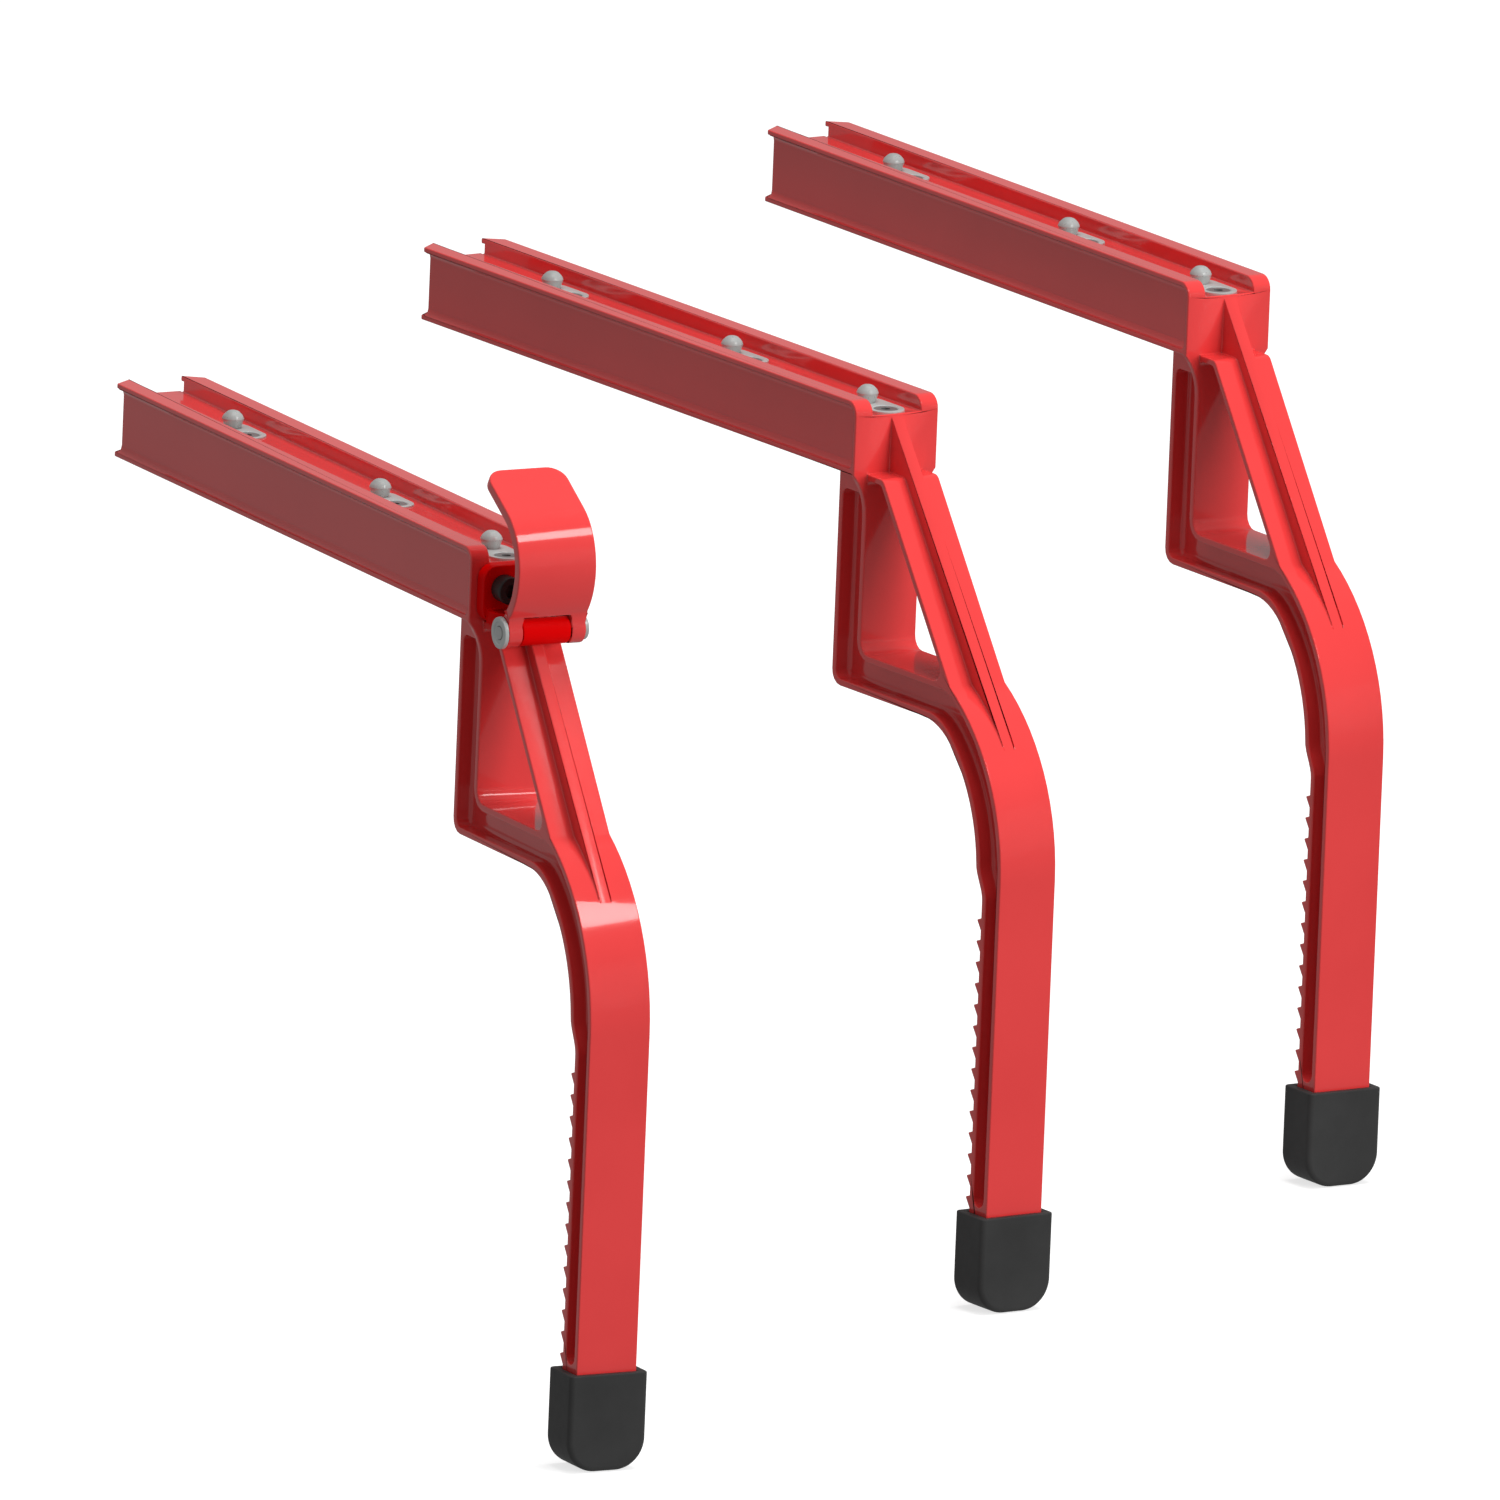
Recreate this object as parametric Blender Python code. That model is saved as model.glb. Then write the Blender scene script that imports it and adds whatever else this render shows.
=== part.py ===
"""Set of three cantilever axle jack stands: a cast arm on a rubber foot, each carrying
locating pins on screwed plates in its channel, the first one with a flip latch on its nose.

Every stand is drawn in millimetres in its own frame: x across, y from the nose (negative) to
the far end of the beam, z up from the sole, with the origin under the middle of the foot.
"""
import math

import bmesh
import bpy
from mathutils import Matrix, Vector

MM = 0.001
GAP = 0.3               # clearance between neighbouring pieces
EMBED = 1.5             # how deep a joined solid reaches into its neighbour
PAST = 1.0              # how far a cutter runs past the face that it opens

# Leg: a vertical bar with a recess in each side and ratchet teeth on its back.
LEG_WIDTH = 30.4
LEG_DEPTH = 14.8
LEG_FRONT_Y = -8.0
LEG_BACK_Y = LEG_FRONT_Y + LEG_DEPTH
LEG_END_Z = 13.6
RIM = 3.2               # width of the rim left around each side recess
RECESS_DEPTH = 7.7
RECESS_FILLET = 2.0

# Teeth.
TOOTH_COUNT = 14
TOOTH_PITCH = 10.0
TOOTH_HEIGHT = 3.4
TOOTH_SLOPE = 4.6
TOOTH_HEEL = 1.2
TOP_TOOTH_Z = 181.4

# Bend: the leg thickens and sweeps back under the beam.
BEND_RADIUS = 96.1
BEND_DEPTH = 20.6
BEND_START_Z = 200.9
BEND_CENTRE = (LEG_FRONT_Y + BEND_RADIUS, BEND_START_Z)
STEP_TOP_Z = 207.2
STEP_FOOT_Z = 190.8

# Foot.
FOOT_WIDTH = 39.3
FOOT_DEPTH = 23.2
FOOT_HEIGHT = 45.2
FOOT_RADIUS = 14.4
FOOT_ROUNDING = 2.5

# Beam: a channel with outward lips.
NOSE_Y = 114.4
BEAM_BACK_Y = 483.6
BEAM_WIDTH = 45.2
BEAM_BOTTOM_Z = 368.5
FLOOR_Z = 395.7
BEAM_TOP_Z = 402.7
CHANNEL_WIDTH = 26.5
LIP_THICKNESS = 2.4
LIP_DEPTH = 3.1
LIP_FILLET = 2.9        # between a lip and the web
NOSE_RIM = 2.2
NOSE_RADIUS = 6.6
MITRE_ACROSS = 9.0
MITRE_ALONG = 6.4
MITRE_RECESS = 2.4      # how far the web lies behind the lips at the mitres
CORE_CEILING_Z = 390.6  # top of the cores in the beam's underside
CORE_RADIUS = 4.0
CORE_MARGIN = 13.0

# Knee: back post, bottom chord and slanted strut around a triangular window.
KNEE_BACK_Y = 137.1
KNEE_BOTTOM_Z = 266.1
KNEE_RADIUS = 7.0
CHORD_FILLET = 35.0
WINDOW_BOTTOM_Z = 284.5
STRUT_ANGLE = math.radians(36.16)
STRUT_THICKNESS = 3.0
STRUT_FOOT_ANGLE = math.radians(120.2)
LEDGE_RADIUS = 4.0
RECESS_TOP_Z = 358.6
FLARE_RADIUS = 31.7
FLARE_THICKNESS = 3.2

# Fin: a central web in front of the strut, tangent to the bend.
FIN_THICKNESS = 6.0
FIN_TOP_Z = 394.6
LATCHED_FIN_TOP_Z = 362.6

# Locating plates.
PIN_ROWS_Y = (139.5, 252.4, 403.2)
PIN_TO_SCREW = 15.4
PLATE_RADIUS = 8.6
PLATE_THICKNESS = 2.8
PLATE_PROUD = 0.7
PIN_RADIUS = 5.1
PIN_WAIST = 3.9
PIN_SHANK = 3.0
PIN_SHOULDER = 5.2      # height of the dome's edge above the channel floor
PIN_HEIGHT = 8.8
PIN_DEPTH = 9.0
SCREW_HEAD = 5.5
SCREW_SHANK = 3.0
SCREW_CONE = 2.5
SCREW_LENGTH = 7.0
SCREW_SUNK = 0.3
HEX_SOCKET = 4.0
HEX_DEPTH = 2.4

# Latch: block bolted to the nose, lever on a pin.
BLOCK_WIDTH = 38.8
BLOCK_PROUD = 7.2
BLOCK_RADIUS = 6.5
ARM_TOP_Z = 375.4
ARM_TAPER_Y = 101.0     # where the arm begins to narrow towards the barrel
HINGE = (86.5, 369.4)
BARREL_RADIUS = 6.6
BARREL_LENGTH = 24.1
LEVER_WIDTH = 39.2
LEVER_THICKNESS = 5.0
LEVER_BULGE_RADIUS = 32.3
LEVER_BULGE = (17.9, 29.3)      # centre of the bulge behind and above the hinge
LEVER_CURL_START = math.radians(150.4)
LEVER_CURL_RADIUS = 28.0
LEVER_TIP_SLOPE = math.radians(30.0)
LEVER_TIP = (24.8, 69.9)
LEVER_CORNER = 8.5
HINGE_PIN_RADIUS = 3.0
CAP_RADIUS = 7.5
PIN_HEAD_RADIUS = 5.6
CAP_THICKNESS = 1.9
BOLT_SPACING = 19.0
BOLT_Z = 385.2
BOLT_SHANK = 4.0
BOLT_HEAD = 6.3
BOLT_HEAD_HEIGHT = 8.4
BOLT_LENGTH = 18.0

# Where each stand's foot stands, in millimetres, and which way its nose points.
STANDS = {
    "a": ((-348.6, -192.5), math.radians(-6.58)),
    "b": ((0.0, 0.0), 0.0),
    "c": ((284.95, 154.8), math.radians(-0.92)),
}
LATCHED_STAND = "a"

FINISHES = {
    "red": ((0.72, 0.035, 0.035, 1.0), 0.25, 0.1),
    "latch_red": ((0.70, 0.0, 0.0, 1.0), 0.35, 0.0),
    "rubber": ((0.04, 0.04, 0.04, 1.0), 0.8, 0.0),
    "steel": ((0.52, 0.54, 0.54, 1.0), 0.35, 1.0),
    "black_steel": ((0.02, 0.02, 0.02, 1.0), 0.5, 0.6),
}


# ---- outlines ---------------------------------------------------------------------------

def arc(centre, radius, start, end, steps):
    """Points on a circle from one angle to another, both ends included."""
    angles = [start + (end - start) * i / steps for i in range(steps + 1)]
    return [(centre[0] + radius * math.cos(t), centre[1] + radius * math.sin(t)) for t in angles]


def rounded(corners, steps=4):
    """A closed outline through (u, v, radius) corners, each rounded by an arc."""
    points = []
    count = len(corners)
    for i, (u, v, radius) in enumerate(corners):
        if radius == 0:
            points.append((u, v))
            continue
        here = Vector((u, v))
        back = (Vector(corners[i - 1][:2]) - here).normalized()
        ahead = (Vector(corners[(i + 1) % count][:2]) - here).normalized()
        half = back.angle(ahead) / 2
        centre = here + (back + ahead).normalized() * radius / math.sin(half)
        first = here + back * radius / math.tan(half) - centre
        turn = first.angle_signed(here + ahead * radius / math.tan(half) - centre)
        start = math.atan2(first.y, first.x)
        points += arc(centre, radius, start, start - turn, steps)
    return points


def offset_line_y(z, shift):
    """Where the strut's face, moved inwards by shift, is at height z."""
    foot = strut_foot()
    inward = shift / math.cos(STRUT_ANGLE)
    return foot[0] + inward + (z - foot[1]) * math.tan(STRUT_ANGLE)


def strut_foot():
    """The kink where the bend's outer face turns into the strut."""
    return arc(BEND_CENTRE, BEND_RADIUS, STRUT_FOOT_ANGLE, STRUT_FOOT_ANGLE, 1)[0]


def tooth_points():
    """The leg's back from the step down to the foot, one tooth after another."""
    points = []
    for i in range(TOOTH_COUNT):
        tip_z = TOP_TOOTH_Z - i * TOOTH_PITCH
        points.append((LEG_BACK_Y, tip_z + TOOTH_HEEL))
        points.append((LEG_BACK_Y + TOOTH_HEIGHT, tip_z))
        points.append((LEG_BACK_Y, tip_z - TOOTH_SLOPE))
    return points


def step_points(shift, steps=8):
    """The smooth step from the bend's depth to the leg's, moved inwards by shift."""
    top_y = bend_inner_y(STEP_TOP_Z, shift)
    low_y = LEG_BACK_Y - shift
    points = []
    for i in range(steps + 1):
        t = i / steps
        ease = t * t * (3 - 2 * t)
        points.append((top_y + (low_y - top_y) * ease, STEP_TOP_Z + (STEP_FOOT_Z - STEP_TOP_Z) * t))
    return points


def bend_inner_y(z, shift):
    """The bend's inner face, moved into the metal by shift, at height z."""
    radius = BEND_RADIUS - BEND_DEPTH + shift
    return BEND_CENTRE[0] - math.sqrt(radius ** 2 - (z - BEND_CENTRE[1]) ** 2)


def chord_to_bend(shift, steps_fillet=6, steps_bend=12):
    """From the bottom chord through its fillet and down the bend's inner face to the step."""
    radius = BEND_RADIUS - BEND_DEPTH + shift
    fillet = CHORD_FILLET - shift
    chord_z = KNEE_BOTTOM_Z + shift
    centre_z = chord_z - fillet
    rise = centre_z - BEND_CENTRE[1]
    centre_y = BEND_CENTRE[0] - math.sqrt((radius - fillet) ** 2 - rise ** 2)
    meet = math.atan2(rise, centre_y - BEND_CENTRE[0])
    low = math.atan2(STEP_TOP_Z - BEND_CENTRE[1], bend_inner_y(STEP_TOP_Z, shift) - BEND_CENTRE[0])
    points = arc((centre_y, centre_z), fillet, math.pi / 2, meet, steps_fillet)
    points += arc(BEND_CENTRE, radius, meet, low, steps_bend)[1:-1]
    return points


def arm_outline():
    """Side view of leg, bend and knee, running up the front and down the back."""
    points = [(LEG_FRONT_Y, LEG_END_Z)]
    points += arc(BEND_CENTRE, BEND_RADIUS, math.pi, STRUT_FOOT_ANGLE, 14)
    ledge = (offset_line_y(BEAM_BOTTOM_Z, 0), BEAM_BOTTOM_Z, LEDGE_RADIUS)
    foot = strut_foot()
    points += rounded([(foot[0], foot[1], 0), ledge, (NOSE_Y, BEAM_BOTTOM_Z, 0)])[1:-1]
    points += [(NOSE_Y + 1, BEAM_BOTTOM_Z), (NOSE_Y + 1, BEAM_BOTTOM_Z + 1)]
    points.append((KNEE_BACK_Y, BEAM_BOTTOM_Z + 1))
    corner = (KNEE_BACK_Y, KNEE_BOTTOM_Z, KNEE_RADIUS)
    points += rounded([(KNEE_BACK_Y, BEAM_BOTTOM_Z, 0), corner, (LEG_BACK_Y, KNEE_BOTTOM_Z, 0)])[1:-1]
    points += chord_to_bend(0)
    points += step_points(0)
    points += tooth_points()
    points.append((LEG_BACK_Y, LEG_END_Z))
    return points


def recess_outline():
    """The recess in each side, one rim's width inside leg, bend, chord and post."""
    front = LEG_FRONT_Y + RIM
    back = LEG_BACK_Y - RIM
    end_z = FOOT_HEIGHT + RIM
    post_front = NOSE_Y + RIM
    chord_top = WINDOW_BOTTOM_Z - RIM
    inner_radius = BEND_RADIUS - RIM
    meet = math.pi - math.asin((chord_top - BEND_CENTRE[1]) / inner_radius)
    end_radius = (back - front) / 2
    points = arc(((front + back) / 2, end_z + end_radius), end_radius, -math.pi, 0, 8)[::-1]
    points += arc(BEND_CENTRE, inner_radius, math.pi, meet + 0.04, 14)
    tip = arc(BEND_CENTRE, inner_radius, meet, meet, 1)[0]
    post = [
        (tip[0] + 4.0, chord_top, 0),
        (post_front, chord_top, 9.6),
        (post_front, RECESS_TOP_Z, 3.6),
        (KNEE_BACK_Y - RIM, RECESS_TOP_Z, 3.6),
        (KNEE_BACK_Y - RIM, KNEE_BOTTOM_Z + RIM, KNEE_RADIUS - RIM),
        (BEND_CENTRE[0], KNEE_BOTTOM_Z + RIM, 0),
    ]
    points += rounded(post)[:-1]
    points += chord_to_bend(RIM)
    points += step_points(RIM)
    return points


def window_outline():
    """The knee's triangular window."""
    top_z = BEAM_BOTTOM_Z - STRUT_THICKNESS
    return rounded([
        (NOSE_Y, WINDOW_BOTTOM_Z, 6.4),
        (NOSE_Y, top_z, 2.5),
        (offset_line_y(top_z, STRUT_THICKNESS), top_z, 3.0),
        (offset_line_y(WINDOW_BOTTOM_Z, STRUT_THICKNESS), WINDOW_BOTTOM_Z, 5.0),
    ])


def fin_outline(top_z):
    """The fin, from the nose or a lower cut down to its tangent point on the bend."""
    reach = Vector((NOSE_Y - BEND_CENTRE[0], FIN_TOP_Z - BEND_CENTRE[1]))
    touch = math.atan2(reach.y, reach.x) + math.acos(BEND_RADIUS / reach.length)
    slope = touch - math.pi / 2
    crest_y = NOSE_Y - (FIN_TOP_Z - top_z) / math.tan(slope)
    root = [(offset_line_y(z, EMBED), z) for z in (BEAM_BOTTOM_Z - LEDGE_RADIUS - EMBED, strut_foot()[1])]
    points = [(crest_y, top_z)]
    if top_z > BEAM_BOTTOM_Z:
        points += [(NOSE_Y + EMBED, top_z), (NOSE_Y + EMBED, BEAM_BOTTOM_Z - EMBED)]
    else:
        points += [(offset_line_y(top_z, EMBED), top_z)]
        root = root[1:]
    points += root
    points += arc(BEND_CENTRE, BEND_RADIUS - EMBED, STRUT_FOOT_ANGLE, touch + 0.03, 4)[1:]
    points += arc(BEND_CENTRE, BEND_RADIUS, touch, touch, 1)[:1]
    return points


def flare_outline():
    """Front view of the post's top, spreading from the leg's width to the beam's."""
    spread = (BEAM_WIDTH - LEG_WIDTH) / 2
    sweep = math.acos((FLARE_RADIUS - spread) / FLARE_RADIUS)
    low_z = BEAM_BOTTOM_Z - FLARE_RADIUS * math.sin(sweep)
    side = arc((LEG_WIDTH / 2 + FLARE_RADIUS, low_z), FLARE_RADIUS, math.pi, math.pi - sweep, 5)
    top_z = BEAM_BOTTOM_Z + 0.6
    right = side + [(BEAM_WIDTH / 2, top_z)]
    return right + [(-x, z) for x, z in reversed(right)]


# ---- solids -----------------------------------------------------------------------------

AXES = {
    "X": lambda u, v, w: (w, u, v),
    "Y": lambda u, v, w: (u, w, v),
    "Z": lambda u, v, w: (u, v, w),
}


def new_object(name, bm):
    """Turn a bmesh in millimetres into an object in metres."""
    bmesh.ops.remove_doubles(bm, verts=bm.verts, dist=0.001)
    bmesh.ops.recalc_face_normals(bm, faces=bm.faces)
    bmesh.ops.scale(bm, vec=(MM, MM, MM), verts=bm.verts)
    mesh = bpy.data.meshes.new(name)
    bm.to_mesh(mesh)
    bm.free()
    obj = bpy.data.objects.new(name, mesh)
    bpy.context.scene.collection.objects.link(obj)
    return obj


def prism(name, outline, low, high, axis):
    """Extrude a closed outline along an axis."""
    place = AXES[axis]
    bm = bmesh.new()
    loops = [[bm.verts.new(place(u, v, w)) for u, v in outline] for w in (low, high)]
    for loop in loops:
        bm.faces.new(loop)
    for i in range(len(outline)):
        j = (i + 1) % len(outline)
        bm.faces.new((loops[0][i], loops[0][j], loops[1][j], loops[1][i]))
    return new_object(name, bm)


def soften(obj, radius, wanted, segments=2):
    """Round the edges whose two ends, in millimetres, pass the wanted test."""
    bm = bmesh.new()
    bm.from_mesh(obj.data)
    edges = [e for e in bm.edges if wanted(e.verts[0].co / MM, e.verts[1].co / MM)]
    bmesh.ops.bevel(bm, geom=edges, offset=radius * MM, segments=segments, profile=0.5, affect="EDGES")
    bm.to_mesh(obj.data)
    bm.free()
    return obj


def side_cutter(outline, floor, outer, fillet):
    """Cutter for a pocket in a side face, from its rounded floor outwards."""
    low, high = sorted((floor, outer))
    cutter = prism("pocket", outline, low, high, "X")
    return soften(cutter, fillet, lambda a, b: max(abs(a.x - floor), abs(b.x - floor)) < 0.01)


def box(name, xs, ys, zs):
    """A block between two x, two y and two z values."""
    outline = [(xs[0], ys[0]), (xs[1], ys[0]), (xs[1], ys[1]), (xs[0], ys[1])]
    return prism(name, outline, zs[0], zs[1], "Z")


def lathe(name, profile, centre, axis="Z", segments=24, start=0.0):
    """Turn a (radius, height) profile about an axis through centre, ends closed."""
    place = AXES[axis]
    middle = Vector(centre)
    bm = bmesh.new()
    rings = []
    for radius, height in profile:
        if radius == 0:
            rings.append([bm.verts.new(middle + Vector(place(0, 0, height)))])
            continue
        ring = arc((0, 0), radius, start, start + 2 * math.pi, segments)[:-1]
        rings.append([bm.verts.new(middle + Vector(place(u, v, height))) for u, v in ring])
    for lower, upper in zip(rings, rings[1:]):
        for i in range(segments):
            corners = [lower[i % len(lower)], lower[(i + 1) % len(lower)]]
            corners += [upper[(i + 1) % len(upper)], upper[i % len(upper)]]
            bm.faces.new(list(dict.fromkeys(corners)))
    for ring in (rings[0], rings[-1]):
        if len(ring) > 1:
            bm.faces.new(ring)
    return new_object(name, bm)


def combine(obj, other, operation):
    """Join another solid to obj or cut it away, and keep only the result."""
    modifier = obj.modifiers.new(operation.lower(), "BOOLEAN")
    modifier.operation = operation
    modifier.solver = "EXACT"
    modifier.object = other
    graph = bpy.context.evaluated_depsgraph_get()
    result = bpy.data.meshes.new_from_object(obj.evaluated_get(graph))
    obj.modifiers.clear()
    obj.data = result
    bpy.data.objects.remove(other)


def join(obj, *others):
    for other in others:
        combine(obj, other, "UNION")


def cut(obj, *others):
    for other in others:
        combine(obj, other, "DIFFERENCE")


# ---- arm --------------------------------------------------------------------------------

def beam():
    """The channel beam: nose, floor, walls, lips and cored underside."""
    half = BEAM_WIDTH / 2
    outline = rounded([
        (NOSE_Y, BEAM_BOTTOM_Z, 0),
        (BEAM_BACK_Y, BEAM_BOTTOM_Z, 0),
        (BEAM_BACK_Y, BEAM_TOP_Z, 0),
        (NOSE_Y, BEAM_TOP_Z, NOSE_RADIUS),
    ], steps=6)
    body = prism("beam", outline, -half, half, "X")
    inner = CHANNEL_WIDTH / 2
    cut(body, box("channel", (-inner, inner), (NOSE_Y - PAST, BEAM_BACK_Y + PAST), (FLOOR_Z, BEAM_TOP_Z + PAST)))
    past_end = BEAM_BACK_Y + 2 * LIP_FILLET
    side = rounded([
        (NOSE_Y + NOSE_RIM, BEAM_BOTTOM_Z + LIP_THICKNESS, 3.0),
        (past_end, BEAM_BOTTOM_Z + LIP_THICKNESS, 0),
        (past_end, BEAM_TOP_Z - LIP_THICKNESS, 0),
        (NOSE_Y + NOSE_RIM, BEAM_TOP_Z - LIP_THICKNESS, NOSE_RADIUS - NOSE_RIM),
    ])
    for sign in (-1, 1):
        cut(body, side_cutter(side, sign * (half - LIP_DEPTH), sign * (half + PAST), LIP_FILLET))
        cut(body, mitre_cutter(sign, 0, BEAM_BOTTOM_Z - PAST, BEAM_TOP_Z + PAST))
        recess = (BEAM_BOTTOM_Z + LIP_THICKNESS, BEAM_TOP_Z - LIP_THICKNESS)
        cut(body, mitre_cutter(sign, MITRE_RECESS, *recess))
    return body


def mitre_cutter(sign, inset, low, high):
    """Cutter for one far corner of the beam, its slanted face moved inwards by inset."""
    half = BEAM_WIDTH / 2
    slant = math.hypot(MITRE_ACROSS, MITRE_ALONG)
    side_y = BEAM_BACK_Y - MITRE_ALONG - inset * slant / MITRE_ACROSS
    inner = CHANNEL_WIDTH / 2
    inner_y = side_y + (half - inner) * MITRE_ALONG / MITRE_ACROSS
    past_y = BEAM_BACK_Y + MITRE_ALONG
    outline = [
        (sign * (half + MITRE_ACROSS), side_y - MITRE_ALONG),
        (sign * (half + MITRE_ACROSS), past_y),
        (sign * inner, past_y),
        (sign * inner, inner_y),
    ]
    return prism("mitre", outline, low, high, "Z")


def core_outlines():
    """Plan views of the cores between the solid blocks under the locating plates."""
    blocks = [(y - PIN_TO_SCREW - CORE_MARGIN, y + CORE_MARGIN) for y in PIN_ROWS_Y]
    starts = [block[1] for block in blocks]
    ends = [block[0] for block in blocks[1:]] + [BEAM_BACK_Y - MITRE_ALONG]
    half = CHANNEL_WIDTH / 2
    outlines = []
    for start, end in zip(starts, ends):
        corners = [(-half, start), (half, start), (half, end), (-half, end)]
        outlines.append(rounded([(x, y, CORE_RADIUS) for x, y in corners], steps=3))
    return outlines


def plate_outline(pin_y, radius):
    """Plan view of an oblong plate around its pin and its screw."""
    points = arc((0, pin_y), radius, 0, math.pi, 8)
    return points + arc((0, pin_y - PIN_TO_SCREW), radius, math.pi, 2 * math.pi, 8)


def arm(name, latched):
    """One cast arm: leg, bend, knee, fin and beam in a single piece."""
    half = LEG_WIDTH / 2
    body = prism(name, arm_outline(), -half, half, "X")
    cut(body, prism("window", window_outline(), -half - PAST, half + PAST, "X"))
    join(body, prism("flare", flare_outline(), NOSE_Y, NOSE_Y + FLARE_THICKNESS, "Y"), beam())
    fin_top = LATCHED_FIN_TOP_Z if latched else FIN_TOP_Z
    fin_half = FIN_THICKNESS / 2
    join(body, prism("fin", fin_outline(fin_top), -fin_half, fin_half, "X"))
    for sign in (-1, 1):
        floor = sign * (half - RECESS_DEPTH)
        cut(body, side_cutter(recess_outline(), floor, sign * (half + PAST), RECESS_FILLET))
    for outline in core_outlines():
        cut(body, prism("core", outline, BEAM_BOTTOM_Z - PAST, CORE_CEILING_Z, "Z"))
    seat_z = FLOOR_Z - PLATE_THICKNESS + PLATE_PROUD
    for pin_y in PIN_ROWS_Y:
        cut(body, prism("seat", plate_outline(pin_y, PLATE_RADIUS + GAP), seat_z, BEAM_TOP_Z, "Z"))
        cut(body, hole(PIN_SHANK, pin_y, seat_z - PIN_DEPTH, seat_z + PAST))
        screw_end = FLOOR_Z + PLATE_PROUD - SCREW_SUNK - SCREW_LENGTH
        cut(body, hole(SCREW_SHANK, pin_y - PIN_TO_SCREW, screw_end - GAP, seat_z + PAST))
    if latched:
        end_y = NOSE_Y - BLOCK_PROUD + BOLT_LENGTH + GAP
        for sign in (-1, 1):
            centre = (sign * BOLT_SPACING / 2, 0, BOLT_Z)
            radius = BOLT_SHANK + GAP
            cut(body, lathe("bolt_hole", [(radius, NOSE_Y - 1), (radius, end_y)], centre, "Y", 16))
    return body


def hole(radius, y, low, high):
    """An upright cutter for a pin or screw of the given radius."""
    return lathe("hole", [(radius + GAP, low), (radius + GAP, high)], (0, y, 0), "Z", 12)


def foot(name):
    """Rubber boot with a rounded sole and a socket for the leg."""
    half = FOOT_WIDTH / 2
    outline = rounded([
        (-half, 0, FOOT_RADIUS),
        (half, 0, FOOT_RADIUS),
        (half, FOOT_HEIGHT, 0),
        (-half, FOOT_HEIGHT, 0),
    ], steps=8)
    body = prism(name, outline, -FOOT_DEPTH / 2, FOOT_DEPTH / 2, "Y")
    soften(body, FOOT_ROUNDING, lambda a, b: abs(a.y - b.y) < 0.01 and min(a.z, b.z) < FOOT_HEIGHT - 0.1)
    side = LEG_WIDTH / 2 + GAP
    span = (LEG_FRONT_Y - GAP, LEG_BACK_Y + GAP)
    cut(body, box("socket", (-side, side), span, (LEG_END_Z - GAP, FOOT_HEIGHT + 1)))
    return body


# ---- locating plates --------------------------------------------------------------------

def pin_plate(name, pin_y):
    """Oblong plate with a plain hole for the pin and a countersunk one for the screw."""
    top = FLOOR_Z + PLATE_PROUD
    bottom = top - PLATE_THICKNESS + 0.05
    body = prism(name, plate_outline(pin_y, PLATE_RADIUS), bottom, top, "Z")
    cut(body, hole(PIN_SHANK, pin_y, bottom - 1, top + 1))
    cone = [
        (SCREW_SHANK + GAP, bottom - 1),
        (SCREW_SHANK + GAP, top - SCREW_SUNK - SCREW_CONE - GAP),
        (SCREW_HEAD + GAP, top - SCREW_SUNK),
        (SCREW_HEAD + GAP, top + 1),
    ]
    cut(body, lathe("countersink", cone, (0, pin_y - PIN_TO_SCREW, 0), segments=16))
    return body


def locating_pin(name, pin_y):
    """Domed pin with a waist on the plate and a shank through it into the arm."""
    base = FLOOR_Z + PLATE_PROUD + GAP
    shoulder = FLOOR_Z + PIN_SHOULDER
    dome = PIN_HEIGHT - PIN_SHOULDER
    shank_end = FLOOR_Z - PLATE_THICKNESS + PLATE_PROUD - PIN_DEPTH + GAP
    profile = [
        (PIN_SHANK, shank_end),
        (PIN_SHANK, base),
        (PIN_WAIST, base),
        (PIN_RADIUS, shoulder),
        (PIN_RADIUS * 0.78, shoulder + dome * 0.52),
        (PIN_RADIUS * 0.42, shoulder + dome * 0.88),
        (0, shoulder + dome),
    ]
    return lathe(name, profile, (0, pin_y, 0), segments=16)


def plate_screw(name, screw_y):
    """Countersunk screw with a hexagon socket."""
    top = FLOOR_Z + PLATE_PROUD - SCREW_SUNK
    profile = [
        (SCREW_SHANK, top - SCREW_LENGTH),
        (SCREW_SHANK, top - SCREW_CONE),
        (SCREW_HEAD, top - 0.3),
        (SCREW_HEAD, top),
    ]
    body = lathe(name, profile, (0, screw_y, 0), segments=16)
    cut(body, hexagon((0, screw_y, 0), HEX_SOCKET, top - HEX_DEPTH, top + 1, "Z"))
    return body


def hexagon(centre, across_flats, low, high, axis):
    """Cutter for a hexagon socket."""
    radius = across_flats / math.sqrt(3)
    return lathe("hexagon", [(radius, low), (radius, high)], centre, axis, 6)


# ---- latch ------------------------------------------------------------------------------

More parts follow.
